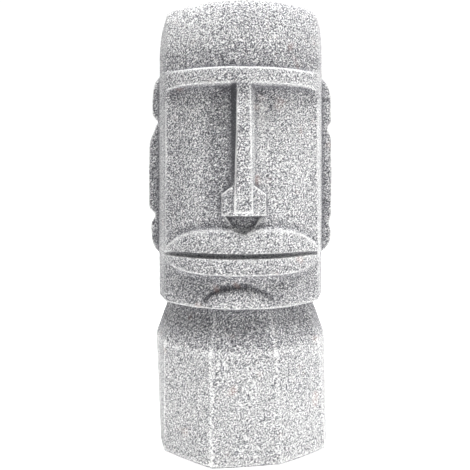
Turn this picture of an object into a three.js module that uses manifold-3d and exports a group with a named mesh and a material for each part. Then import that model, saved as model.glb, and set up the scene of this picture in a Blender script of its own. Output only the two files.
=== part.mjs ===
import * as THREE from "three";
import Module from "manifold-3d";
import { ConvexGeometry } from "three/addons/geometries/ConvexGeometry.js";
import { mergeVertices } from "three/addons/utils/BufferGeometryUtils.js";

// Statue planter: a tall carved head on a neck and a faceted block, cast in
// one piece of stone-effect fibre cement, hollow and open at the top.
// Millimetres, +Z up. The face looks along -Y, and +X is on the viewer's right.
// "Depth" is measured backwards from the front of the brow, and "across" runs
// from -1 to 1 between the two vertical edges of the face.

// Overall size
const HEIGHT = 606;
const BACK_DEPTH = 250;
const NOSE_REACH = 11;
const MIDDLE_DEPTH = (BACK_DEPTH - NOSE_REACH) / 2;
const MERGE_DISTANCE = 0.001;

// Head: the plan at the jaw, which narrows a little towards the top
const FACE_HALF_WIDTH = 105;
const FACE_EDGE_DEPTH = 51;
const FACE_ROUNDNESS = 2.35;
const FACE_STEPS = 20;
const FACE_STEP_SPREAD = THREE.MathUtils.degToRad(80);
const SIDE_HALF_WIDTH = 118;
const SIDE_FRONT_DEPTH = 94;
const SIDE_BACK_DEPTH = 165;
const BACK_HALF_WIDTH = 42;
const BACK_CURVE_STEPS = 8;
const HEAD_TAPER = 0.045;

// Heights of the carved lines of the face
const JAW_HEIGHT = 211;
const CHIN_HEIGHT = 232;
const LOWER_LIP_HEIGHT = 256.5;
const LOWER_LIP_CORNER_RISE = 14.5;
const MOUTH_HEIGHT = 281.2;
const MOUTH_CORNER_DROP = 2.6;
const UPPER_LIP_CORNER_HEIGHT = 285.5;
const UPPER_LIP_HEIGHT = 315;
const LIP_NOTCH_DROP = 5;
const LIP_NOTCH_HALF_WIDTH = 9;
const NOSTRIL_HEIGHT = 333;
const SOCKET_HEIGHT = 497.5;
const SOCKET_CORNER_DROP = 6;
const BROW_HEIGHT = 518.5;
const RIM_DOME = 4;
const RIM_CREST = 0.2;

// How far the carving goes in behind the brow, or stands out when negative
const JAW_RECESS = 2.5;
const CHIN_RECESS = 9;
const LIP_BULGE = 4;
const MOUTH_GAP = 6.3;
const MOUTH_GAP_LEAN = 0.12;
const MOUTH_CUT = 9;
const CHEEK_FOOT_RECESS = 5.5;
const CHEEK_FOOT_RISE = 4.5;
const SOCKET_RECESS = 21;
const FOREHEAD_RECESS = 8;
const FOREHEAD_EDGE_RECESS = 2;
const FOREHEAD_LEAN = 21;
const FOREHEAD_BEND_HEIGHT = 546;
const SHOULDER_INSET = 10;
const LEFT_SHOULDER_INSET = 12.5;
const SHOULDER_FACE_INSET = 2;
const JAW_EDGE_RADIUS = 3;

// Cheeks: a valley beside the nose and a soft swell further out
const VALLEY_DEPTH = 2.5;
const VALLEY_PLACE = 24;
const VALLEY_WIDTH = 14;
const SWELL_HEIGHT = 2.5;
const SWELL_PLACE = 60;
const SWELL_WIDTH = 20;

// Nose
const NOSE_OFFSET = -1;
const RIDGE_TOP_HALF_WIDTH = 8.3;
const RIDGE_FOOT_HALF_WIDTH = 11.8;
const RIDGE_TOP_DEPTH = 2.5;
const RIDGE_FOOT_HEIGHT = 337;
const NOSE_ROOT_SPREAD = 7;
const WING_HALF_WIDTH = 28.5;
const WING_TOP_HEIGHT = 360.5;
const WING_SLOPE_HEIGHT = 371;
const WING_INNER_DEPTH = -6.5;
const WING_OUTER_DEPTH = 0.5;
const POCKET_POINT_HEIGHT = 309;
const POCKET_DEPTH = 15;

// Chin mound
const MOUND_OFFSET = -6;
const MOUND_HALF_WIDTH = 45;
const MOUND_RISE = 29;
const MOUND_DEPTH = 13;
const MOUND_FRONT_DEPTH = -1;
const MOUND_SEGMENTS = 28;
const GROOVE_WIDTH = 4;
const GROOVE_DEPTH = 2.5;
const GROOVE_RISE = 2;
const GROOVE_START = THREE.MathUtils.degToRad(12);

// Ears: long slabs on the sides, parted by two notches into three lobes
const EAR_TOP = 524;
const EAR_FOOT = 271;
const EAR_FRONT_DEPTH = 97;
const EAR_WAIST_DEPTH = 150;
const EAR_CROWN_DEPTH = 168;
const EAR_LOBE_DEPTH = 142;
const EAR_STEPS = 50;
const EAR_ROOT = 14;
const EAR_HOLLOW = 4;
const EAR_ROLL = 11;
const EAR_LOBE_HEIGHT = 64;
const LEFT_EAR = {
  side: -1,
  crownReach: 10.5,
  middleReach: 15,
  lobeReach: 12.5,
  upperNotch: { height: 456, depth: 10, above: 7, below: 18 },
  lowerNotch: { height: 329, depth: 8, above: 5, below: 8 },
};
const RIGHT_EAR = {
  side: 1,
  crownReach: 14.5,
  middleReach: 15,
  lobeReach: 16,
  upperNotch: { height: 452, depth: 6, above: 2.5, below: 11 },
  lowerNotch: { height: 314, depth: 4, above: 6, below: 8 },
};

// Neck and block: twelve flat facets with a slight crown
const LEDGE_HEIGHT = 157;
const LEDGE_ROUND = 4;
const NECK_TOP_HEIGHT = 226;
const NECK_INSET = 19;
const BLOCK_FOOT_RADIUS = 2.5;
const BLOCK_FOOT_SHIFT = 4.5;
const FRONT_FACET_HALF_WIDTH = 43;
const FRONT_FACET_FOOT_GAIN = 4;
const FRONT_FACET_DEPTH = 2.5;
const FRONT_FACET_FOOT_REACH = 3;
const FRONT_FACET_FOOT_TURN = 5.5;
const BLOCK_CORNER_X = 107;
const BLOCK_CORNER_FOOT_GAIN = 6.5;
const BLOCK_CORNER_DEPTH = 50;
const BLOCK_HALF_WIDTH = 123.5;
const BLOCK_SIDE_DEPTH = 98;
const FACET_CROWN = 1.8;
const FACET_STEPS = 3;

// Planting hollow: one open space from the rim down to the floor
const FLOOR = 24;
const HEAD_HOLLOW = { halfWidth: 102, front: 38, back: 234, flat: 50, corner: 88, cut: 30 };
const BEND_HOLLOW = { halfWidth: 98, front: 38, back: 230, flat: 48, corner: 84, cut: 28 };
const RIM_HOLLOW = { halfWidth: 87, front: 46, back: 219, flat: 44, corner: 77, cut: 26 };
const NECK_HOLLOW = { halfWidth: 84, front: 38, back: 212, flat: 38, corner: 70, cut: 26 };
const BLOCK_HOLLOW = { halfWidth: 107, front: 20, back: 230, flat: 42, corner: 84, cut: 32 };
const FLOOR_HOLLOW = { halfWidth: 99, front: 26, back: 224, flat: 40, corner: 79, cut: 30 };

const wasm = await Module();
wasm.setup();

// A point of the object from its place across, its depth and its height
function point(x, depth, z) {
  return new THREE.Vector3(x, depth - MIDDLE_DEPTH, z);
}

// A closed geometry as a solid that can be joined and cut
function solid(geometry) {
  geometry.deleteAttribute("normal");
  geometry.deleteAttribute("uv");
  const merged = mergeVertices(geometry, MERGE_DISTANCE);
  const mesh = new wasm.Mesh({
    numProp: 3,
    vertProperties: Float32Array.from(merged.attributes.position.array),
    triVerts: Uint32Array.from(merged.index.array),
  });
  return new wasm.Manifold(mesh);
}

// The finished solid as a geometry
function geometryOf(body) {
  const mesh = body.getMesh();
  const geometry = new THREE.BufferGeometry();
  geometry.setAttribute("position", new THREE.BufferAttribute(mesh.vertProperties, 3));
  geometry.setIndex(new THREE.BufferAttribute(mesh.triVerts, 1));
  geometry.computeVertexNormals();
  return geometry;
}

// A closed block through rings of points, lowest ring first. Each ring runs
// anticlockwise seen from above and has the same number of points.
function loft(rings) {
  const count = rings[0].length;
  const levels = rings.length - 1;
  const geometry = new THREE.CylinderGeometry(1, 1, levels, count, levels);
  const position = geometry.attributes.position;
  for (let index = 0; index < position.count; index += 1) {
    const ring = rings[Math.round(position.getY(index) + levels / 2)];
    const radius = Math.hypot(position.getX(index), position.getZ(index));
    const turn = Math.atan2(position.getX(index), position.getZ(index)) / (2 * Math.PI);
    const station = Math.round((turn + 1) * count) % count;
    const place = radius < 0.5 ? middleOf(ring) : ring[station];
    position.setXYZ(index, place.x, place.y, place.z);
  }
  return solid(geometry);
}

function middleOf(ring) {
  const middle = new THREE.Vector3();
  ring.forEach((place) => middle.add(place));
  return middle.divideScalar(ring.length);
}

// A flat outline pushed through the object from front to back
function extrudeBackwards(outline, frontDepth, backDepth) {
  const length = backDepth - frontDepth;
  const geometry = new THREE.ExtrudeGeometry(outline, { depth: length, bevelEnabled: false });
  geometry.rotateX(Math.PI / 2);
  geometry.translate(0, backDepth - MIDDLE_DEPTH, 0);
  return solid(geometry);
}

// An outline drawn in depth and height, pushed sideways from one x to another
function extrudeSideways(outline, fromX, toX) {
  const length = Math.abs(toX - fromX);
  const geometry = new THREE.ExtrudeGeometry(outline, { depth: length, bevelEnabled: false });
  geometry.rotateX(Math.PI / 2);
  geometry.rotateZ(Math.PI / 2);
  geometry.translate(Math.min(fromX, toX), -MIDDLE_DEPTH, 0);
  return solid(geometry);
}

// The head's plan at the jaw: the curved face in fine steps, then the side
// strips, the sides and the rounded back
function headPlan() {
  const stations = [];
  for (let step = -FACE_STEPS; step <= FACE_STEPS; step += 1) {
    const angle = (step / FACE_STEPS) * FACE_STEP_SPREAD;
    const across = Math.sin(angle) / Math.sin(FACE_STEP_SPREAD);
    const depth = FACE_EDGE_DEPTH * Math.abs(across) ** FACE_ROUNDNESS;
    stations.push({ x: across * FACE_HALF_WIDTH, depth, across, face: true });
  }
  const back = new THREE.Path();
  back.moveTo(FACE_HALF_WIDTH, FACE_EDGE_DEPTH);
  back.lineTo(SIDE_HALF_WIDTH, SIDE_FRONT_DEPTH);
  back.lineTo(SIDE_HALF_WIDTH, SIDE_BACK_DEPTH);
  back.bezierCurveTo(SIDE_HALF_WIDTH, 215, 88, BACK_DEPTH, BACK_HALF_WIDTH, BACK_DEPTH);
  back.lineTo(-BACK_HALF_WIDTH, BACK_DEPTH);
  back.bezierCurveTo(-88, BACK_DEPTH, -SIDE_HALF_WIDTH, 215, -SIDE_HALF_WIDTH, SIDE_BACK_DEPTH);
  back.lineTo(-SIDE_HALF_WIDTH, SIDE_FRONT_DEPTH);
  back.lineTo(-FACE_HALF_WIDTH, FACE_EDGE_DEPTH);
  const rest = back.getPoints(BACK_CURVE_STEPS).slice(1, -1);
  rest.forEach((place) => {
    stations.push({ x: place.x, depth: place.y, across: Math.sign(place.x), face: false });
  });
  return stations;
}

// Heights of the curved lines of the mouth, which runs the full width
function upperLipLine(across) {
  const rise = (UPPER_LIP_HEIGHT - UPPER_LIP_CORNER_HEIGHT) * (1 - across ** 4);
  const fromMiddle = (across * FACE_HALF_WIDTH) / LIP_NOTCH_HALF_WIDTH;
  return UPPER_LIP_CORNER_HEIGHT + rise - LIP_NOTCH_DROP * Math.exp(-(fromMiddle ** 2));
}

function mouthLine(across) {
  return MOUTH_HEIGHT - MOUTH_CORNER_DROP * across ** 6;
}

// Half the opening of the mouth, which is wider on the left of the face
function mouthHalfGap(across) {
  return (MOUTH_GAP / 2) * (1 - MOUTH_GAP_LEAN * across) * (1 - 0.3 * across ** 8);
}

function lowerLipLine(across) {
  return LOWER_LIP_HEIGHT + LOWER_LIP_CORNER_RISE * Math.abs(across) ** 6;
}

// The lower edge of the brow, which turns down to the face's vertical edges
function socketLine(across) {
  return SOCKET_HEIGHT - SOCKET_CORNER_DROP * Math.abs(across) ** 14;
}

// The cheek's recess across the face, from just above the lip, where share is
// 0, to its full valley and swell under the brow, where share is 1
function cheek(recess, share) {
  return (across) => {
    const left = 1 - Math.abs(across) ** THREE.MathUtils.lerp(16, 8, share);
    const faded = left * (1 - THREE.MathUtils.lerp(0.1, 0.35, share) * Math.abs(across));
    const away = Math.abs(across) * FACE_HALF_WIDTH;
    const valley = VALLEY_DEPTH * Math.exp(-(((away - VALLEY_PLACE) / VALLEY_WIDTH) ** 2));
    const swell = SWELL_HEIGHT * Math.exp(-(((away - SWELL_PLACE) / SWELL_WIDTH) ** 2));
    return recess * faded + share * (valley - swell);
  };
}

// One carved line round the head. height and recess are given across the face;
// lean tips the front back, and the insets draw the sides and the face in.
function carvedLine(height, recess, lean = 0, inset = 0, faceInset = 0) {
  const line = { height, recess, lean, inset, leftInset: inset, faceInset };
  if (typeof height === "number") {
    line.height = () => height;
  }
  if (typeof recess === "number") {
    line.recess = (across) => recess * (1 - 0.8 * Math.abs(across) ** 6);
  }
  return line;
}

function between(low, high, share) {
  return (across) => THREE.MathUtils.lerp(low(across), high(across), share);
}

// All carved lines from the jaw up to the rim
function carvedLines() {
  const lines = [];
  const edge = JAW_EDGE_RADIUS;
  lines.push(carvedLine(JAW_HEIGHT, JAW_RECESS + edge, 0, edge, edge));
  lines.push(carvedLine(JAW_HEIGHT + edge / 4, JAW_RECESS + edge / 4, 0, edge / 4, edge / 4));
  lines.push(carvedLine(JAW_HEIGHT + edge, JAW_RECESS));
  lines.push(carvedLine(CHIN_HEIGHT, (JAW_RECESS + CHIN_RECESS) / 2));
  lines.push(carvedLine((across) => lowerLipLine(across) - 9, CHIN_RECESS));
  lines.push(carvedLine((across) => lowerLipLine(across) - 2, CHIN_RECESS - 3));
  lines.push(carvedLine(lowerLipLine, -LIP_BULGE * 0.6));
  lines.push(carvedLine(between(lowerLipLine, mouthLine, 0.45), -LIP_BULGE));
  const cut = (across) => MOUTH_CUT * (1 - 0.45 * across ** 10);
  const gap = mouthHalfGap;
  lines.push(carvedLine((across) => mouthLine(across) - gap(across), -LIP_BULGE * 0.6));
  lines.push(carvedLine((across) => mouthLine(across) - gap(across) * 0.7, cut));
  lines.push(carvedLine((across) => mouthLine(across) + gap(across) * 0.7, cut));
  lines.push(carvedLine((across) => mouthLine(across) + gap(across), -LIP_BULGE * 0.6));
  lines.push(carvedLine(between(mouthLine, upperLipLine, 0.6), -LIP_BULGE));
  lines.push(carvedLine((across) => upperLipLine(across) - 1, -LIP_BULGE * 0.6));
  const foot = (across) => upperLipLine(across) + CHEEK_FOOT_RISE;
  const top = (across) => socketLine(across) - 2;
  for (let step = 0; step <= 4; step += 1) {
    const share = step / 4;
    const recess = THREE.MathUtils.lerp(CHEEK_FOOT_RECESS, SOCKET_RECESS, share);
    lines.push(carvedLine(between(foot, top, share), cheek(recess, share)));
  }
  lines.push(carvedLine(socketLine, cheek(SOCKET_RECESS - 2, 1)));
  lines.push(carvedLine((across) => socketLine(across) + 1, 0.5));
  lines.push(carvedLine((across) => socketLine(across) + 3, 0));
  lines.push(carvedLine(BROW_HEIGHT - 2, 0));
  lines.push(carvedLine(BROW_HEIGHT, 1));
  const forehead = (across) => {
    const inner = FOREHEAD_RECESS - FOREHEAD_EDGE_RECESS;
    return FOREHEAD_EDGE_RECESS + inner * (1 - Math.abs(across) ** 4);
  };
  lines.push(carvedLine(BROW_HEIGHT + 1, forehead));
  lines.push(carvedLine(FOREHEAD_BEND_HEIGHT, forehead));
  for (let step = 1; step <= 6; step += 1) {
    const bend = (step / 6) * (Math.PI / 2);
    const turned = 1 - Math.cos(bend);
    const level = THREE.MathUtils.lerp(FOREHEAD_BEND_HEIGHT, HEIGHT, Math.sin(bend));
    const height = (across) => level - RIM_DOME * turned * (across - RIM_CREST) ** 2;
    const lean = FOREHEAD_LEAN * turned;
    const inset = SHOULDER_INSET * turned ** 1.3;
    const line = carvedLine(height, forehead, lean, inset, SHOULDER_FACE_INSET * turned);
    line.leftInset = LEFT_SHOULDER_INSET * turned ** 0.8;
    lines.push(line);
  }
  return lines;
}

// How much narrower the head is at a height than at the jaw
function taperAt(height) {
  return 1 - (HEAD_TAPER * (height - JAW_HEIGHT)) / (HEIGHT - JAW_HEIGHT);
}

// The ring of points that a carved line makes round the head
function headRing(plan, line) {
  const half = BACK_DEPTH / 2;
  return plan.map((station) => {
    const height = line.height(station.across);
    const sideInset = station.x < 0 ? line.leftInset : line.inset;
    const inset = station.face ? line.faceInset : sideInset;
    const x = station.x * taperAt(height) * (1 - inset / SIDE_HALF_WIDTH);
    const carved = station.depth + (station.face ? line.recess(station.across) : 0);
    const leant = carved + line.lean * (1 - carved / BACK_DEPTH);
    const back = half + (leant - half) * taperAt(height) * (1 - line.inset / half);
    return point(x, leant > half ? back : leant, height);
  });
}

function head() {
  const plan = headPlan();
  return loft(carvedLines().map((line) => headRing(plan, line)));
}

// Nose: a straight ridge that comes forward to the tip, on a wider root
function ridge() {
  const places = [];
  for (const side of [-1, 1]) {
    const foot = NOSE_OFFSET + side * RIDGE_FOOT_HALF_WIDTH;
    places.push(point(side * RIDGE_TOP_HALF_WIDTH, RIDGE_TOP_DEPTH, SOCKET_HEIGHT + 2));
    places.push(point(foot, -NOSE_REACH, RIDGE_FOOT_HEIGHT));
    const rootTop = RIDGE_TOP_HALF_WIDTH + NOSE_ROOT_SPREAD;
    const rootFoot = RIDGE_FOOT_HALF_WIDTH + NOSE_ROOT_SPREAD;
    places.push(point(side * rootTop, SOCKET_RECESS + 2, SOCKET_HEIGHT + 2));
    places.push(point(side * rootFoot, POCKET_DEPTH + 6, NOSTRIL_HEIGHT));
  }
  return solid(new ConvexGeometry(places));
}

// One wing of the nose: lower than the ridge, falling away to the cheek
function wing(side) {
  const rootDepth = POCKET_DEPTH + 6;
  const places = [
    point(0, WING_INNER_DEPTH - 1, NOSTRIL_HEIGHT),
    point(0, WING_INNER_DEPTH + 2, WING_SLOPE_HEIGHT),
    point(side * WING_HALF_WIDTH, WING_OUTER_DEPTH, NOSTRIL_HEIGHT),
    point(side * WING_HALF_WIDTH, WING_OUTER_DEPTH + 1.5, WING_TOP_HEIGHT),
    point(side * (RIDGE_FOOT_HALF_WIDTH + 3), WING_INNER_DEPTH + 4, WING_SLOPE_HEIGHT),
    point(0, rootDepth, NOSTRIL_HEIGHT),
    point(0, rootDepth, WING_SLOPE_HEIGHT),
    point(side * WING_HALF_WIDTH, rootDepth, NOSTRIL_HEIGHT),
    point(side * WING_HALF_WIDTH, rootDepth, WING_TOP_HEIGHT),
  ];
  return solid(new ConvexGeometry(places));
}

// The shaded pocket under the nose, deepest below the nostrils and running
// out to a point at the lip
function pocket() {
  const places = [];
  const middle = (NOSTRIL_HEIGHT + POCKET_POINT_HEIGHT) / 2;
  for (const side of [-1, 1]) {
    places.push(point(side * (WING_HALF_WIDTH - 1), -NOSE_REACH - 5, NOSTRIL_HEIGHT));
    places.push(point(side * (WING_HALF_WIDTH - 6), POCKET_DEPTH, NOSTRIL_HEIGHT));
    places.push(point(side * (WING_HALF_WIDTH - 8), -NOSE_REACH - 5, middle));
    places.push(point(side * (WING_HALF_WIDTH - 14), POCKET_DEPTH * 0.7, middle));
  }
  places.push(point(0, -NOSE_REACH - 5, POCKET_POINT_HEIGHT - 2));
  places.push(point(0, 3, POCKET_POINT_HEIGHT + 2));
  return solid(new ConvexGeometry(places));
}

// The mound of the chin, a half dome that ends at the jaw's lower edge
function chinMound() {
  const place = point(MOUND_OFFSET, MOUND_FRONT_DEPTH + MOUND_DEPTH, JAW_HEIGHT);
  const dome = new THREE.SphereGeometry(1, MOUND_SEGMENTS, MOUND_SEGMENTS / 2);
  dome.rotateX(Math.PI / 2);
  dome.scale(MOUND_HALF_WIDTH, MOUND_DEPTH, MOUND_RISE);
  dome.translate(place.x, place.y, place.z);
  const above = new THREE.BoxGeometry(2 * MOUND_HALF_WIDTH, 2 * MOUND_DEPTH, MOUND_RISE);
  above.translate(place.x, place.y, JAW_HEIGHT + 2 + MOUND_RISE / 2);
  return solid(dome).intersect(solid(above));
}

// The groove that follows the top of the chin mound and runs out at its feet,
// with a floor that lies equally far behind the curved face all along
function chinGroove(face) {
  const outline = new THREE.Shape();
  const width = MOUND_HALF_WIDTH + GROOVE_WIDTH;
  const rise = MOUND_RISE + GROOVE_WIDTH;
  const foot = JAW_HEIGHT + GROOVE_RISE;
  outline.absellipse(MOUND_OFFSET, foot, width, rise, GROOVE_START, Math.PI - GROOVE_START);
  outline.closePath();
  const area = extrudeBackwards(outline, -NOSE_REACH, MIDDLE_DEPTH);
  return area.subtract(face.translate([0, GROOVE_DEPTH, 0]));
}

// How far an ear stands off the side of the head at a height
function earReach(ear, height) {
  const along = (height - EAR_FOOT) / (EAR_TOP - EAR_FOOT);
  const ends = 1 - Math.abs(2 * along - 1) ** 12;
  let reach = ear.middleReach;
  if (height > ear.upperNotch.height) {
    reach = ear.crownReach;
  } else if (height < ear.lowerNotch.height) {
    reach = ear.lobeReach;
  }
  for (const notch of [ear.upperNotch, ear.lowerNotch]) {
    const away = height - notch.height;
    const width = away > 0 ? notch.above : notch.below;
    reach -= notch.depth * Math.exp(-((away / width) ** 2));
  }
  return reach * ends;
}

// The ear seen from the side, wide at the crown and narrow at the lobe. The
// margin draws it in all round, and the rise lifts its foot off the lobe.
function earSideOutline(margin, rise) {
  const outline = new THREE.Shape();
  const front = EAR_FRONT_DEPTH + margin;
  const foot = EAR_FOOT - 3 + margin + rise;
  const top = EAR_TOP + 3 - 1.5 * margin;
  const lobe = EAR_LOBE_DEPTH - margin;
  const waist = EAR_WAIST_DEPTH - margin;
  const crown = EAR_CROWN_DEPTH - margin;
  const waistHeight = LEFT_EAR.upperNotch.height - 40;
  outline.moveTo(front, foot + 20);
  outline.quadraticCurveTo(front, foot, (front + lobe) / 2, foot);
  outline.quadraticCurveTo(lobe, foot, lobe, foot + 30);
  outline.lineTo(waist, waistHeight);
  outline.quadraticCurveTo(crown, waistHeight + 25, crown, top - 36);
  outline.quadraticCurveTo(crown, top, (front + crown) / 2, top);
  outline.quadraticCurveTo(front, top, front, top - 24);
  outline.closePath();
  return outline;
}

function ear(shape) {
  const root = SIDE_HALF_WIDTH - EAR_ROOT;
  const outline = new THREE.Shape();
  outline.moveTo(shape.side * root, EAR_FOOT);
  for (let step = 0; step <= EAR_STEPS; step += 1) {
    const height = THREE.MathUtils.lerp(EAR_FOOT, EAR_TOP, step / EAR_STEPS);
    const wall = SIDE_HALF_WIDTH * taperAt(height);
    outline.lineTo(shape.side * (wall + earReach(shape, height)), height);
  }
  outline.lineTo(shape.side * root, EAR_TOP);
  outline.closePath();
  const slab = extrudeBackwards(outline, EAR_FRONT_DEPTH - 1, EAR_CROWN_DEPTH + 1);
  const farX = shape.side * (SIDE_HALF_WIDTH + 2 * shape.middleReach);
  const trimmed = slab.intersect(extrudeSideways(earSideOutline(0, 0), shape.side * root, farX));
  const waistWall = SIDE_HALF_WIDTH * taperAt(LEFT_EAR.upperNotch.height);
  const face = shape.side * (waistWall + shape.middleReach - EAR_HOLLOW);
  return trimmed.subtract(extrudeSideways(earSideOutline(EAR_ROLL, EAR_LOBE_HEIGHT), face, farX));
}

// The block's plan as twelve flat facets, each with a slight crown. spread
// widens the front facets towards the foot, where the front one comes forward
// on the left and goes back on the right, and inset draws the ring in.
function blockRing(height, inset, spread) {
  const facetX = FRONT_FACET_HALF_WIDTH + FRONT_FACET_FOOT_GAIN * spread;
  const cornerX = BLOCK_CORNER_X + BLOCK_CORNER_FOOT_GAIN * spread;
  const quarter = [
    [facetX, FRONT_FACET_DEPTH],
    [cornerX, BLOCK_CORNER_DEPTH],
    [BLOCK_HALF_WIDTH, BLOCK_SIDE_DEPTH],
  ];
  const corners = [];
  quarter.forEach(([x, depth]) => corners.push(new THREE.Vector2(x, depth)));
  [...quarter].reverse().forEach(([x, depth]) => corners.push(new THREE.Vector2(x, BACK_DEPTH - depth)));
  [...corners].reverse().forEach((corner) => corners.push(new THREE.Vector2(-corner.x, corner.y)));
  corners[0].y += FRONT_FACET_FOOT_TURN * spread;
  corners.at(-1).y -= FRONT_FACET_FOOT_REACH * spread;
  const half = BACK_DEPTH / 2;
  const ring = [];
  corners.forEach((corner, index) => {
    const next = corners[(index + 1) % corners.length];
    const along = next.clone().sub(corner);
    const outward = new THREE.Vector2(along.y, -along.x).normalize();
    const crown = FACET_CROWN * (along.length() / (2 * FRONT_FACET_HALF_WIDTH));
    for (let step = 0; step < FACET_STEPS; step += 1) {
      const share = step / FACET_STEPS;
      const place = corner.clone().addScaledVector(along, share);
      place.addScaledVector(outward, 4 * crown * share * (1 - share));
      const x = place.x * (1 - inset / BLOCK_HALF_WIDTH) + BLOCK_FOOT_SHIFT * spread;
      const depth = half + (place.y - half) * (1 - inset / half);
      ring.push(point(x, depth, height));
    }
  });
  return ring;
}

function neckAndBlock() {
  const radius = BLOCK_FOOT_RADIUS;
  return loft([
    blockRing(0, radius, 1),
    blockRing(radius * 0.3, radius * 0.3, 1),
    blockRing(radius, 0, 1),
    blockRing(LEDGE_HEIGHT - LEDGE_ROUND, 0, 0),
    blockRing(LEDGE_HEIGHT, LEDGE_ROUND * 0.3, 0),
    blockRing(LEDGE_HEIGHT + LEDGE_ROUND, LEDGE_ROUND * 0.75, 0),
    blockRing(JAW_HEIGHT - 5, NECK_INSET, 0),
    blockRing(NECK_TOP_HEIGHT, NECK_INSET + 2, 0),
  ]);
}

// One level of the planting hollow: a rectangle with its four corners cut
function hollowRing(height, size) {
  const right = [
    [size.flat, size.front],
    [size.corner, size.front + size.cut],
    [size.halfWidth, SIDE_FRONT_DEPTH + 6],
    [size.halfWidth, SIDE_BACK_DEPTH - 8],
    [size.corner, size.back - size.cut],
    [size.flat, size.back],
  ];
  const left = [...right].reverse().map(([x, depth]) => [-x, depth]);
  return [...right, ...left].map(([x, depth]) => point(x, depth, height));
}

function hollow() {
  return loft([
    hollowRing(FLOOR, FLOOR_HOLLOW),
    hollowRing(FLOOR + 12, BLOCK_HOLLOW),
    hollowRing(LEDGE_HEIGHT - 20, BLOCK_HOLLOW),
    hollowRing(JAW_HEIGHT - 10, NECK_HOLLOW),
    hollowRing(JAW_HEIGHT + 6, NECK_HOLLOW),
    hollowRing(JAW_HEIGHT + 36, HEAD_HOLLOW),
    hollowRing(FOREHEAD_BEND_HEIGHT, BEND_HOLLOW),
    hollowRing(HEIGHT + 5, RIM_HOLLOW),
  ]);
}

// The whole casting, built up as solid stone, then hollowed from the top
function headPlanter() {
  let body = head();
  body = body.subtract(chinGroove(body)).add(chinMound());
  body = body.add(ridge()).add(wing(-1)).add(wing(1));
  body = body.subtract(pocket());
  body = body.add(ear(LEFT_EAR)).add(ear(RIGHT_EAR));
  body = body.add(neckAndBlock());
  return body.subtract(hollow());
}

const castStone = new THREE.MeshStandardMaterial({
  color: 0xb4b4b9,
  roughness: 0.95,
  metalness: 0,
});

const planter = new THREE.Group();
const mesh = new THREE.Mesh(geometryOf(headPlanter()), castStone);
mesh.name = "head_planter";
planter.add(mesh);

export default planter;
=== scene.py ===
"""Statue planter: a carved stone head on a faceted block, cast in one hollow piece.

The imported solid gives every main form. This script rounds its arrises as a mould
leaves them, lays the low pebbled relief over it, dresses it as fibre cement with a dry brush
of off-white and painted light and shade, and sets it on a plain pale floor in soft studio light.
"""

import logging
import math
from dataclasses import dataclass, field
from enum import Enum

import bmesh
import bpy
import numpy as np
from mathutils import Euler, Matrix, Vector, noise


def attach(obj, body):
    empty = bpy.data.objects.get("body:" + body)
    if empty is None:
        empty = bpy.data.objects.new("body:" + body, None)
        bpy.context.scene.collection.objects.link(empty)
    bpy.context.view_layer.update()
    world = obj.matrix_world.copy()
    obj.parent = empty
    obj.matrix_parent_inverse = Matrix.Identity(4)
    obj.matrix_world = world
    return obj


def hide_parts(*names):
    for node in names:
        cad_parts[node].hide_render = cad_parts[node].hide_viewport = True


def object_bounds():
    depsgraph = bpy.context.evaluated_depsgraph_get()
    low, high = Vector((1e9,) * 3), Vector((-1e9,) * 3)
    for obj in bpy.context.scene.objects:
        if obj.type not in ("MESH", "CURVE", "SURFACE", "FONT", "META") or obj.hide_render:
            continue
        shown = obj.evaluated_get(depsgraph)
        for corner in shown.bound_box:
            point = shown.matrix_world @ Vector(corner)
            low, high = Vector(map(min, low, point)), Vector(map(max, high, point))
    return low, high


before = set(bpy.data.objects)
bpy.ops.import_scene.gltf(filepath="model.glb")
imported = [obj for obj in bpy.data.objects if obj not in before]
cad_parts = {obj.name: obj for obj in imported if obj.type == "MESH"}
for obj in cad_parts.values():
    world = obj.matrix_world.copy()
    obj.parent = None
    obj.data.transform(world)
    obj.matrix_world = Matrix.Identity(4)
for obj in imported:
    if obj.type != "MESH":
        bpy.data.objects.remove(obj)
CAD_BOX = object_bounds()

MILLIMETRE = 0.001
FACE_END = -45 * MILLIMETRE

log = logging.getLogger("statue_planter")


class Trace(Enum):
    """What is remembered at each point of the casting, as attributes of its mesh."""

    ARRIS = "arris"
    RECESS = "recess"
    # Painted light and shade by zone, painted shade above the lip's crest and in the chin's groove, and
    # the brushing of the facets' creases
    BRUSH_AND_PAINTED_LIGHT = "brush_and_painted_light"
    INSIDE = "inside"


class Ramp(Enum):
    """How a value goes from one end of its span to the other."""

    EVEN = "LINEAR"
    SMOOTH = "SMOOTHSTEP"


def linear(hex_colour: str) -> tuple[float, float, float, float]:
    """Turns an sRGB colour into the linear colour that shaders and lights take.

    Args:
        hex_colour: six hexadecimal digits, with or without a leading hash.

    Returns:
        Linear red, green, blue and a full alpha.
    """
    digits = hex_colour.lstrip("#")
    channels = [int(digits[i : i + 2], 16) / 255 for i in (0, 2, 4)]
    made = [c / 12.92 if c <= 0.04045 else ((c + 0.055) / 1.055) ** 2.4 for c in channels]
    return (*made, 1.0)


def add_node(
    tree: bpy.types.NodeTree,
    kind: str,
    settings: dict[str | int, object] | None = None,
    links: dict[str | int, bpy.types.NodeSocket] | None = None,
) -> bpy.types.Node:
    """Adds one node to a tree, with its settings and the links into it.

    Args:
        tree: the node tree of a material or the world.
        kind: the type name of the node.
        settings: values by the name of a property, or the name or number of an input.
        links: output sockets by the name or number of the input that each feeds.

    Returns:
        The new node.
    """
    node = tree.nodes.new(kind)
    for name, value in (settings or {}).items():
        if isinstance(name, str) and hasattr(node, name):
            setattr(node, name, value)
        else:
            node.inputs[name].default_value = value
    for name, socket in (links or {}).items():
        tree.links.new(socket, node.inputs[name])
    return node


def new_material(name: str) -> tuple[bpy.types.Material, bpy.types.NodeTree]:
    """Makes an empty node material.

    Args:
        name: what the real material is called.

    Returns:
        The material and its cleared node tree.
    """
    material = bpy.data.materials.new(name)
    material.use_nodes = True
    material.node_tree.nodes.clear()
    return material, material.node_tree


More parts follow.
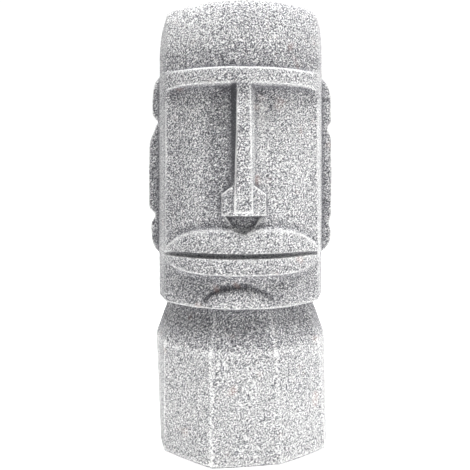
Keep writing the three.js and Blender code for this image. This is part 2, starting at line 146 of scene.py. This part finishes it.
def ramp(
    tree: bpy.types.NodeTree,
    value: bpy.types.NodeSocket,
    span: tuple[float, float],
    ends: tuple[float, float] = (0.0, 1.0),
    kind: Ramp = Ramp.SMOOTH,
) -> bpy.types.NodeSocket:
    """Maps a value from one span to another.

    Args:
        tree: the node tree of a material or the world.
        value: what is mapped.
        span: the two values that the ramp goes between.
        ends: what comes out at and beyond each of them.
        kind: how it goes from one to the other.

    Returns:
        The mapped value.
    """
    settings = {
        "interpolation_type": kind.value,
        "From Min": span[0],
        "From Max": span[1],
        "To Min": ends[0],
        "To Max": ends[1],
    }
    return add_node(tree, "ShaderNodeMapRange", settings, {"Value": value}).outputs["Result"]


def reckoned(
    tree: bpy.types.NodeTree, operation: str, *terms: float | bpy.types.NodeSocket
) -> bpy.types.NodeSocket:
    """Does one sum on numbers and on the values of other nodes.

    Args:
        tree: the node tree of a material.
        operation: what is done with the terms.
        terms: each a number or an output socket.

    Returns:
        The result.
    """
    numbers = {i: term for i, term in enumerate(terms) if isinstance(term, float)}
    sockets = {i: term for i, term in enumerate(terms) if not isinstance(term, float)}
    return add_node(tree, "ShaderNodeMath", {"operation": operation} | numbers, sockets).outputs[0]


def laid_over(
    tree: bpy.types.NodeTree,
    under: str | bpy.types.NodeSocket,
    over: str,
    share: bpy.types.NodeSocket,
) -> bpy.types.NodeSocket:
    """Lays one colour over another.

    Args:
        tree: the node tree of a material.
        under: the colour below, in hexadecimal digits or as an output socket.
        over: the colour on top, in hexadecimal digits.
        share: how far the one on top covers, from 0 to 1.

    Returns:
        The colour that is seen.
    """
    settings = {"data_type": "RGBA", 7: linear(over)}
    links = {0: share}
    if isinstance(under, str):
        settings[6] = linear(under)
    else:
        links[6] = under
    return add_node(tree, "ShaderNodeMix", settings, links).outputs[2]


@dataclass(frozen=True)
class DryBrushedCement:
    """Fibre cement cast in a pebbled mould, sealed grey and given a dry brush of off-white, with painted
    light and shade in its colour.

    The mould leaves a skin of low pebbles and pits. The grey wash stays in the pits, the
    brush whitens the pebbles and most of all the arrises, and nothing on it shines. The
    brush was drawn across at a slant, so the light spots are a little longer that way.
    A pebble is one cell of the noise, about 3.5 mm from one crest to the next.
    """

    pit: str = "49494d"
    wash: str = "8f8f93"
    brush: str = "ebebea"
    arris: str = "f2f2f1"
    bare: str = "85858a"
    speck: str = "b79a92"
    pebble: float = 1.8 * MILLIMETRE
    stretch: float = 1.12
    slant: float = -35.0
    patch: float = 70 * MILLIMETRE
    rust: float = 28 * MILLIMETRE
    pebble_height: float = 0.8 * MILLIMETRE
    roughness: float = 0.93
    grain: float = 1.5
    recess_grain: float = 0.6
    # How much painted shade the recesses take
    recess_shade: float = -0.1
    unevenness: float = 0.01
    arris_cover: float = 0.75

    def make(self) -> bpy.types.Material:
        """Returns the finish as a node material."""
        material, tree = new_material("fibre_cement_dry_brush_and_painted_light")
        place = add_node(tree, "ShaderNodeTexCoord").outputs["Object"]
        drawn = add_node(
            tree,
            "ShaderNodeMapping",
            {
                "vector_type": "TEXTURE",
                "Rotation": (0.0, math.radians(self.slant), 0.0),
                "Scale": (self.stretch, 1.0, 1 / self.stretch),
            },
            {"Vector": place},
        ).outputs["Vector"]
        pebbles = add_node(
            tree,
            "ShaderNodeTexNoise",
            {"Scale": 1 / self.pebble, "Detail": 2.5, "Roughness": 0.65, "Distortion": 0.3},
            {"Vector": drawn},
        ).outputs["Fac"]
        patches = add_node(
            tree,
            "ShaderNodeTexNoise",
            {"Scale": 1 / self.patch, "Detail": 2.0, "Roughness": 0.5},
            {"Vector": place},
        ).outputs["Fac"]
        traces = {
            trace: add_node(tree, "ShaderNodeAttribute", {"attribute_name": trace.value}).outputs["Fac"]
            for trace in Trace
        }
        brush_and_painted_light = self.brushing(tree, pebbles, patches, traces)
        colour = self.colouring(tree, place, brush_and_painted_light, traces)
        height = ramp(tree, pebbles, (0.25, 0.7))
        relief = add_node(
            tree,
            "ShaderNodeBump",
            {"Strength": 0.7, "Distance": self.pebble_height},
            {"Height": height},
        )
        surface = add_node(
            tree,
            "ShaderNodeBsdfPrincipled",
            {"Roughness": self.roughness, "IOR": 1.5, "Specular IOR Level": 0.25},
            {"Base Color": colour, "Normal": relief.outputs["Normal"]},
        )
        add_node(tree, "ShaderNodeOutputMaterial", links={"Surface": surface.outputs["BSDF"]})
        return material

    def brushing(
        self,
        tree: bpy.types.NodeTree,
        pebbles: bpy.types.NodeSocket,
        patches: bpy.types.NodeSocket,
        traces: dict[Trace, bpy.types.NodeSocket],
    ) -> bpy.types.NodeSocket:
        """Works out how readily each point has taken the off-white brushing, with painted shade in the
        recesses and the painted light and shade that the mesh holds added in.

        Args:
            tree: the material's node tree.
            pebbles: height of the pebbled skin, from 0 to 1.
            patches: slow variation over the piece, from 0 to 1.
            traces: the mesh's attributes.

        Returns:
            About -0.2 deep in a pit, 0 on the level and 0.2 on top of a pebble.
        """
        pressed = ramp(tree, patches, (0.3, 0.7), (-self.unevenness, self.unevenness), Ramp.EVEN)
        evened = ramp(tree, traces[Trace.RECESS], (0.0, 1.0), (self.grain, self.recess_grain), Ramp.EVEN)
        level = reckoned(tree, "SUBTRACT", pebbles, 0.5)
        lifted = reckoned(tree, "MULTIPLY_ADD", level, evened, pressed)
        # Painted shade: less brushing, so a darker colour, deep in the mesh's recesses
        recess_shaded = reckoned(tree, "MULTIPLY_ADD", traces[Trace.RECESS], self.recess_shade, lifted)
        # Adds the painted light and shade that the mesh holds, with the brushing of the creases
        return reckoned(tree, "ADD", traces[Trace.BRUSH_AND_PAINTED_LIGHT], recess_shaded)

    def colouring(
        self,
        tree: bpy.types.NodeTree,
        place: bpy.types.NodeSocket,
        brush_and_painted_light: bpy.types.NodeSocket,
        traces: dict[Trace, bpy.types.NodeSocket],
    ) -> bpy.types.NodeSocket:
        """Lays the pits, the wash, the rust specks and the brushing over each other.

        Args:
            tree: the material's node tree.
            place: position on the piece, in metres.
            brush_and_painted_light: how readily each point has taken the brushing, with the painted
                light and shade added in.
            traces: the mesh's attributes.

        Returns:
            The base colour.
        """
        # Where the painted shade lowers the brushing, more pit and wash show; where the painted light
        # raises it, more of the brush shows
        wash_and_painted_shade = laid_over(tree, self.pit, self.wash, ramp(tree, brush_and_painted_light, (-0.2, 0.0)))
        rust = add_node(
            tree,
            "ShaderNodeTexNoise",
            {"Scale": 1 / self.rust, "Detail": 1.0},
            {"Vector": place},
        ).outputs["Fac"]
        specked = laid_over(tree, wash_and_painted_shade, self.speck, ramp(tree, rust, (0.66, 0.8), (0.0, 0.35)))
        pebbled = laid_over(tree, specked, self.brush, ramp(tree, brush_and_painted_light, (-0.06, 0.21)))
        rubbed = reckoned(tree, "MULTIPLY", traces[Trace.ARRIS], self.arris_cover)
        outside = laid_over(tree, pebbled, self.arris, rubbed)
        return laid_over(tree, outside, self.bare, traces[Trace.INSIDE])


@dataclass(frozen=True)
class LitTable:
    """Matt opal acrylic, lit from below, which washes out nearly all of the shadow on it."""

    colour: str = "f0f0ef"
    glow: float = 0.75
    roughness: float = 0.9

    def make(self) -> bpy.types.Material:
        """Returns the finish as a node material."""
        material, tree = new_material("lit_opal_acrylic_table")
        surface = add_node(
            tree,
            "ShaderNodeBsdfPrincipled",
            {
                "Base Color": linear(self.colour),
                "Roughness": self.roughness,
                "Specular IOR Level": 0.1,
                "Emission Color": linear("ffffff"),
                "Emission Strength": self.glow,
            },
        )
        add_node(tree, "ShaderNodeOutputMaterial", links={"Surface": surface.outputs["BSDF"]})
        return material


@dataclass(frozen=True)
class SoftBox:
    """One round soft box, aimed at the middle of the planter."""

    name: str
    place: tuple[float, float, float]
    size: float
    power: float
    target: tuple[float, float, float] = (0.0, 0.0, 0.33)

    def build(self) -> None:
        """Hangs the lamp in its place."""
        lamp = bpy.data.lights.new(self.name, "AREA")
        lamp.shape = "DISK"
        lamp.size = self.size
        lamp.energy = self.power
        holder = bpy.data.objects.new(self.name, lamp)
        holder.location = self.place
        aim = Vector(self.target) - holder.location
        holder.rotation_euler = aim.to_track_quat("-Z", "Y").to_euler()
        bpy.context.scene.collection.objects.link(holder)


@dataclass(frozen=True)
class SoftZone:
    """A soft-edged part of the planter with an amount, used for painted light and shade and as a mask.

    It ends where the sides begin, or goes all round, and the higher its crispness the
    sharper its edge.
    """

    place: str
    x: float
    z: float
    reach_x: float
    reach_z: float
    amount: float
    crispness: float = 2.0
    all_round: bool = False
    front: float = FACE_END
    fade: float = 6 * MILLIMETRE

    def laid(self, co: np.ndarray) -> np.ndarray:
        """Returns the zone's amount at each of the points."""
        far = np.abs((co[:, 0] - self.x) / self.reach_x) ** self.crispness
        far += np.abs((co[:, 2] - self.z) / self.reach_z) ** self.crispness
        laid = self.amount * np.exp(-far)
        if self.all_round:
            return laid
        return laid / (1 + np.exp((co[:, 1] - self.front) / self.fade))


@dataclass(frozen=True)
class CrestStrokeAndShade:
    """The brush stroke on the crest of the upper lip, and the painted shade at the foot of the cheek
    just above it.
    """

    half_width: float = 0.104
    corner_height: float = 0.2855
    rise: float = 0.0295
    line: float = 1.5 * MILLIMETRE
    shade: float = 6 * MILLIMETRE
    shade_amount: float = -0.045
    least: float = 0.25
    gain: float = 0.6
    front: float = FACE_END

    def above(self, co: np.ndarray) -> tuple[np.ndarray, np.ndarray]:
        """Tells where each point is on the lip, which nothing behind the face is part of.

        Args:
            co: the points of the mesh.

        Returns:
            How far out each is, from 0 to 1 at the corner, and how far above the crest.
        """
        across = np.abs(co[:, 0]) / self.half_width
        across[co[:, 1] > self.front] = 1.0
        crest = self.corner_height + self.rise * (1 - np.minimum(across, 1) ** 4)
        return across, co[:, 2] - crest

    def rubbed(self, co: np.ndarray) -> np.ndarray:
        """Returns the whitening of the crest, strongest towards the lip's corners."""
        across, height = self.above(co)
        return (across < 1) * (self.least + self.gain * across**2) * np.exp(-((height / self.line) ** 2))

    def wash_and_painted_shade(self, co: np.ndarray) -> np.ndarray:
        """Returns the painted shade at the foot of the cheek above the crest."""
        across, height = self.above(co)
        near = np.exp(-(((height - self.shade) / self.shade) ** 2))
        return self.shade_amount * (across < 1) * near


@dataclass(frozen=True)
class ChinArch:
    """The painted shade in the shallow arched groove over the mound of the chin."""

    middle: float = -0.005
    foot: float = 0.217
    half_width: float = 0.045
    rise: float = 0.0225
    band: float = 3.2 * MILLIMETRE
    amount: float = -0.085
    lasting: float = 1.6
    front: float = FACE_END

    def wash_and_painted_shade(self, co: np.ndarray) -> np.ndarray:
        """Returns the painted shade of the groove, which fades out towards its feet."""
        across = (co[:, 0] - self.middle) / self.half_width
        above = (co[:, 2] - self.foot) / self.rise
        slope = np.hypot(across / self.half_width, above / self.rise)
        away = (across**2 + above**2 - 1) / (2 * np.maximum(slope, 1e-6))
        kept = np.clip(above * self.lasting, 0, 1) * (co[:, 1] < self.front)
        return self.amount * kept * np.exp(-((away / self.band) ** 2))


@dataclass
class Casting:
    """The whole planter: head, ears, neck, block and hollow, in one piece of cement.

    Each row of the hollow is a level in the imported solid: its height, half its width and
    the places of its front and back. What tells an arris, a recess or a crease is how far
    a point stands out of, or back from, its surroundings, in millimetres.
    """

    node: str = "head_planter"
    voxel: float = 1.5 * MILLIMETRE
    rounding: int = 2
    arch_rounding: int = 8
    trace_reach: int = 3
    recess_reach: int = 42
    triangles: int = 190_000
    relief: dict[float, float] = field(
        default_factory=lambda: {
            60 * MILLIMETRE: 0.5 * MILLIMETRE,
            13 * MILLIMETRE: 0.45 * MILLIMETRE,
            5.5 * MILLIMETRE: 0.35 * MILLIMETRE,
        }
    )
    hollow: tuple[tuple[float, float, float, float], ...] = (
        (0.020, 0.099, -0.0935, 0.1045),
        (0.036, 0.107, -0.0995, 0.1105),
        (0.137, 0.107, -0.0995, 0.1105),
        (0.201, 0.084, -0.0815, 0.0925),
        (0.217, 0.084, -0.0815, 0.0925),
        (0.247, 0.102, -0.0815, 0.1145),
        (0.546, 0.098, -0.0815, 0.1105),
        (0.603, 0.087, -0.0735, 0.0995),
    )
    hollow_margin: float = 3 * MILLIMETRE
    # Painted light and shade, zone by zone: painted shade on the neck under the jaw, the chin and left
    # of it, the socket under the brow, the foot of the forehead, the edge of the left cheek and the
    # ears, a painted shadow of the nose along its left side and a painted contact shadow round the foot
    # of the block; painted light on the block and its left edge, the side strips, the right cheek and
    # the right of the nose, the mound of the chin, the upper lip, the slit of the mouth and the left
    # shoulder of the forehead
    zones: tuple[SoftZone, ...] = (
        SoftZone("block", 0, 0.075, 0.3, 0.084, 0.03, 8.0, True),
        SoftZone("foot of the block", 0, 0, 0.3, 0.003, -0.35, 4.0, True),
        SoftZone("left edge of the block", -0.125, 0.08, 0.01, 0.085, 0.1, 4.0, True),
        SoftZone("neck", 0, 0.185, 0.3, 0.026, -0.05, 6.0, True),
        SoftZone("chin", 0, 0.238, 0.3, 0.024, -0.03, 4.0),
        SoftZone("left of the chin", -0.078, 0.228, 0.05, 0.035, -0.035),
        SoftZone("mound of the chin", -0.005, 0.222, 0.034, 0.012, 0.045, 4.0),
        SoftZone("upper lip", 0, 0.301, 0.09, 0.014, 0.02),
        SoftZone("slit of the mouth", 0, 0.279, 0.3, 0.004, 0.07, 4.0),
        SoftZone("left of the nose", -0.034, 0.4, 0.016, 0.085, -0.06, 4.0),
        SoftZone("left foot of the nose", -0.012, 0.437, 0.0035, 0.064, -0.3, 6.0),
        SoftZone("right of the nose", 0.02, 0.44, 0.01, 0.06, 0.06, 4.0),
        SoftZone("edge of the left cheek", -0.09, 0.39, 0.022, 0.09, -0.035, 4.0),
        SoftZone("right cheek", 0.07, 0.41, 0.05, 0.09, 0.02),
        SoftZone("socket", 0, 0.487, 0.3, 0.011, -0.05, 4.0),
        SoftZone("foot of the forehead", 0, 0.532, 0.3, 0.014, -0.045, 4.0),
        SoftZone("left shoulder of the forehead", -0.08, 0.58, 0.05, 0.035, 0.05),
        SoftZone("left strip", -0.112, 0.38, 0.006, 0.19, 0.04, 4.0),
        SoftZone("right strip", 0.113, 0.38, 0.007, 0.19, 0.08, 4.0),
        SoftZone("left ear", -0.13, 0.4, 0.012, 0.13, -0.08, 8.0, True),
        SoftZone("right ear", 0.13, 0.4, 0.012, 0.13, -0.04, 8.0, True),
    )
    slit: SoftZone = SoftZone("slit of the mouth", 0, 0.281, 0.3, 0.007, 0.85, 8.0)
    arch: SoftZone = SoftZone("arch over the chin", -0.006, 0.233, 0.062, 0.017, 0.7, 8.0)
    under_brow: SoftZone = SoftZone("underside of the brow", 0, 0.494, 0.3, 0.009, 0.5, 4.0)
    lip: CrestStrokeAndShade = CrestStrokeAndShade()
    chin: ChinArch = ChinArch()
    foot_height: float = 4 * MILLIMETRE
    arris_from: float = 0.05
    arris_span: float = 0.2
    recess_from: float = 0.15
    recess_span: float = 1.6
    crease_from: float = 0.3
    crease_span: float = 0.9
    crease_brushing: float = 0.2
    neck_top: float = 0.207
    finish: DryBrushedCement = DryBrushedCement()

    def build(self) -> bpy.types.Object:
        """Returns the finished casting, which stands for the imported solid."""
        piece = self.remeshed()
        co, _, edges = self.read(piece.data)
        self.write(piece.data, self.rounded(co, edges))
        co, normal, edges = self.read(piece.data)
        self.trace(piece.data, co, normal, edges)
        self.write(piece.data, self.pebbled(co, normal))
        piece = self.thinned(piece)
        self.dress(piece)
        return piece

    def remeshed(self) -> bpy.types.Object:
        """Returns an even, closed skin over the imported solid, as a new object."""
        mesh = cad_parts[self.node].data.copy()
        mesh.materials.clear()
        shape = bmesh.new()
        shape.from_mesh(mesh)
        bmesh.ops.remove_doubles(shape, verts=shape.verts, dist=1e-6)
        shape.to_mesh(mesh)
        shape.free()
        piece = bpy.data.objects.new("carved_head_planter", mesh)
        bpy.context.scene.collection.objects.link(piece)
        remesh = piece.modifiers.new("even_skin", "REMESH")
        remesh.mode = "VOXEL"
        remesh.voxel_size = self.voxel
        return self.settled(piece)

    def settled(self, piece: bpy.types.Object) -> bpy.types.Object:
        """Applies the piece's modifiers.

        Args:
            piece: an object with modifiers.

        Returns:
            The same object with the mesh that they made, and no modifiers.
        """
        graph = bpy.context.evaluated_depsgraph_get()
        made = bpy.data.meshes.new_from_object(piece.evaluated_get(graph))
        old = piece.data
        piece.modifiers.clear()
        piece.data = made
        bpy.data.meshes.remove(old)
        return piece

    def read(self, mesh: bpy.types.Mesh) -> tuple[np.ndarray, np.ndarray, np.ndarray]:
        """Returns the points, point normals and edges of a mesh."""
        co = np.empty(len(mesh.vertices) * 3)
        mesh.vertices.foreach_get("co", co)
        normal = np.empty(len(mesh.vertices) * 3)
        mesh.vertex_normals.foreach_get("vector", normal)
        edges = np.empty(len(mesh.edges) * 2, np.int32)
        mesh.edges.foreach_get("vertices", edges)
        return co.reshape(-1, 3), normal.reshape(-1, 3), edges.reshape(-1, 2)

    def write(self, mesh: bpy.types.Mesh, co: np.ndarray) -> None:
        """Puts the points back in a mesh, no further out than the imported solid's box."""
        low, high = np.array(CAD_BOX[0]), np.array(CAD_BOX[1])
        mesh.vertices.foreach_set("co", np.clip(co, low, high).ravel())
        mesh.update()

    def averaged(self, values: np.ndarray, edges: np.ndarray, rounds: int) -> np.ndarray:
        """Evens values out along the edges of the mesh.

        Args:
            values: one row for each point.
            edges: pairs of point numbers.
            rounds: how often each point is moved to the middle of its neighbours.

        Returns:
            The evened values.
        """
        count = np.bincount(edges.ravel(), minlength=len(values)).reshape(-1, 1)
        for _ in range(rounds):
            total = np.empty_like(values)
            for axis in range(values.shape[1]):
                near = values[:, axis]
                total[:, axis] = np.bincount(edges[:, 0], near[edges[:, 1]], len(values))
                total[:, axis] += np.bincount(edges[:, 1], near[edges[:, 0]], len(values))
            values = (values + total / count) / 2
        return values

    def rounded(self, co: np.ndarray, edges: np.ndarray) -> np.ndarray:
        """Rounds the arrises, least at the mouth's narrow slit and most round the chin.

        Args:
            co: the points of the mesh.
            edges: its edges, as pairs of point numbers.

        Returns:
            The rounded points.
        """
        light = self.averaged(co, edges, self.rounding)
        full = self.averaged(light, edges, self.arch_rounding)
        kept = self.slit.laid(co)[:, None]
        worn = self.arch.laid(co)[:, None]
        return light + kept * (co - light) + worn * (full - light)

    def trace(self, mesh: bpy.types.Mesh, co: np.ndarray, normal: np.ndarray, edges: np.ndarray) -> None:
        """Remembers on the mesh where the arrises, the recesses and the inside are, and the painted
        light and shade.

        Args:
            mesh: the mesh that takes the attributes.
            co: its points.
            normal: its point normals.
            edges: its edges, as pairs of point numbers.
        """
        near = self.averaged(co, edges, self.trace_reach)
        proud = ((co - near) * normal).sum(1) / MILLIMETRE
        far = self.averaged(near, edges, self.recess_reach)
        sunk = ((far - co) * normal).sum(1) / MILLIMETRE
        # The arrises are not whitened on the lowest few millimetres, where the painted contact shadow of
        # the foot goes, nor at the slit, the arch over the chin and the underside of the brow
        plain = np.clip(co[:, 2] / self.foot_height - 0.5, 0, 1)
        for zone in (self.slit, self.arch, self.under_brow):
            plain = plain * (1 - zone.laid(co))
        arris = np.clip((proud - self.arris_from) / self.arris_span, 0, 1) * plain
        values = {
            Trace.ARRIS: np.maximum(arris, self.lip.rubbed(co)),
            # How deep each point sits in a recess, where the finish paints shade
            Trace.RECESS: np.clip((sunk - self.recess_from) / self.recess_span, 0, 1),
            # Painted light and shade, with the brushing of the facets' creases
            Trace.BRUSH_AND_PAINTED_LIGHT: self.painted_light_and_creases(co, -sunk),
            Trace.INSIDE: self.within_hollow(co, normal).astype(float),
        }
        for kind, value in values.items():
            layer = mesh.attributes.new(kind.value, "FLOAT", "POINT")
            layer.data.foreach_set("value", value.astype(np.float32))

    def painted_light_and_creases(self, co: np.ndarray, swell: np.ndarray) -> np.ndarray:
        """Adds up the painted light and shade, and the brushing of the facets' creases, at each point.

        Args:
            co: the points of the mesh.
            swell: how far each stands out of its wider surroundings, in millimetres.

        Returns:
            The painted light and shade of the zones, the painted shade above the lip's crest and in the
            chin's groove, and the brushing of the creases of the facets.
        """
        creased = np.clip((swell - self.crease_from) / self.crease_span, 0, 1)
        creased = creased * (co[:, 2] < self.neck_top)
        # Painted light and shade of the zones, with the painted shade above the lip's crest and in the
        # chin's groove
        laid = sum(zone.laid(co) for zone in self.zones)
        return laid + self.lip.wash_and_painted_shade(co) + self.chin.wash_and_painted_shade(co) + self.crease_brushing * creased

    def within_hollow(self, co: np.ndarray, normal: np.ndarray) -> np.ndarray:
        """Tells the points of the hollow's walls and floor from those outside.

        Args:
            co: the points of the mesh.
            normal: the point normals.

        Returns:
            True for each point of the hollow.
        """
        levels = np.array(self.hollow)
        half, front, back = (np.interp(co[:, 2], levels[:, 0], levels[:, i]) for i in (1, 2, 3))
        across = co[:, 0] / (half + self.hollow_margin)
        along = (co[:, 1] - (front + back) / 2) / ((back - front) / 2 + self.hollow_margin)
        outward = (normal[:, :2] * co[:, :2]).sum(1) / np.maximum(np.hypot(co[:, 0], co[:, 1]), 1e-6)
        height = (co[:, 2] > levels[0, 0]) & (co[:, 2] < levels[-1, 0])
        return height & (outward < 0.3) & (across**4 + along**4 < 1)

    def pebbled(self, co: np.ndarray, normal: np.ndarray) -> np.ndarray:
        """Sinks the low relief of the mould into the surface outside the hollow.

        Args:
            co: the points of the mesh.
            normal: the point normals.

        Returns:
            The points with the relief.
        """
        depth = np.zeros(len(co))
        for length, height in self.relief.items():
            scaled = co / length
            depth += height * np.array([noise.noise(Vector(p)) - 0.5 for p in scaled]) / 2
        depth[self.within_hollow(co, normal)] = 0
        return co + normal * depth[:, None]

    def thinned(self, piece: bpy.types.Object) -> bpy.types.Object:
        """Takes out the faces that show nothing, most of all on the hollow's level walls.

        Args:
            piece: the dense casting.

        Returns:
            The same object with fewer triangles.
        """
        piece.data.calc_loop_triangles()
        thin = piece.modifiers.new("fewer_faces", "DECIMATE")
        thin.ratio = min(1.0, self.triangles / len(piece.data.loop_triangles))
        return self.settled(piece)

    def dress(self, piece: bpy.types.Object) -> None:
        """Gives the casting its finish and its place in the frame."""
        piece.data.shade_smooth()
        piece.data.materials.append(self.finish.make())
        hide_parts(self.node)
        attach(piece, "root")


@dataclass
class Studio:
    """The pale floor, the soft light and the camera."""

    floor_size: float = 8.0
    camera_place: tuple[float, float, float] = (-0.033, -0.8195, 0.3909)
    camera_pitch: float = -5.0
    camera_yaw: float = -1.78
    lens: float = 42.74
    shift: float = -0.0344
    room_light: float = 0.1
    backdrop_light: float = 1.05
    lamps: tuple[SoftBox, ...] = (
        SoftBox("overhead", (0.1, -0.35, 2.4), 1.2, 96.0),
        SoftBox("right", (2.2, -0.5, 0.7), 1.2, 11.0),
        SoftBox("behind on the right", (1.7, 1.2, 0.9), 1.2, 18.0),
    )
    table: LitTable = LitTable()

    def build(self) -> None:
        """Makes the floor, the lights and the camera."""
        self.make_floor()
        self.make_room()
        for lamp in self.lamps:
            lamp.build()
        self.make_camera()
        bpy.context.scene.view_settings.view_transform = "Standard"

    def make_floor(self) -> None:
        """Lays the table top that the planter stands on."""
        mesh = bpy.data.meshes.new("floor")
        shape = bmesh.new()
        bmesh.ops.create_grid(shape, x_segments=1, y_segments=1, size=self.floor_size / 2)
        shape.to_mesh(mesh)
        shape.free()
        mesh.materials.append(self.table.make())
        floor = bpy.data.objects.new("floor", mesh)
        bpy.context.scene.collection.objects.link(floor)

    def make_room(self) -> None:
        """Lights the room: a white backdrop behind the planter, and little elsewhere."""
        world = bpy.data.worlds.new("studio_room")
        world.use_nodes = True
        tree = world.node_tree
        tree.nodes.clear()
        way = add_node(tree, "ShaderNodeTexCoord").outputs["Generated"]
        backwards = add_node(tree, "ShaderNodeSeparateXYZ", links={0: way}).outputs["Y"]
        light = ramp(tree, backwards, (0.0, 0.5), (self.room_light, self.backdrop_light))
        sky = add_node(tree, "ShaderNodeBackground", {"Color": linear("ffffff")}, {"Strength": light})
        add_node(tree, "ShaderNodeOutputWorld", links={"Surface": sky.outputs["Background"]})
        bpy.context.scene.world = world

    def make_camera(self) -> None:
        """Places the camera where the photograph was taken from."""
        lens = bpy.data.cameras.new("camera")
        lens.sensor_width = 36.0
        lens.lens = self.lens
        lens.shift_y = self.shift
        camera = bpy.data.objects.new("camera", lens)
        camera.location = self.camera_place
        turn = (math.radians(90 + self.camera_pitch), 0.0, math.radians(self.camera_yaw))
        camera.rotation_euler = Euler(turn, "XYZ")
        bpy.context.scene.collection.objects.link(camera)
        bpy.context.scene.camera = camera


def main() -> None:
    """Builds the planter and the studio, and reports each piece."""
    logging.basicConfig(level=logging.INFO, format="%(name)s: %(message)s")
    piece = Casting().build()
    log.info("%s has %d faces", piece.name, len(piece.data.polygons))
    Studio().build()
    log.info("floor, light and camera are in place")


if __name__ == "__main__":
    main()
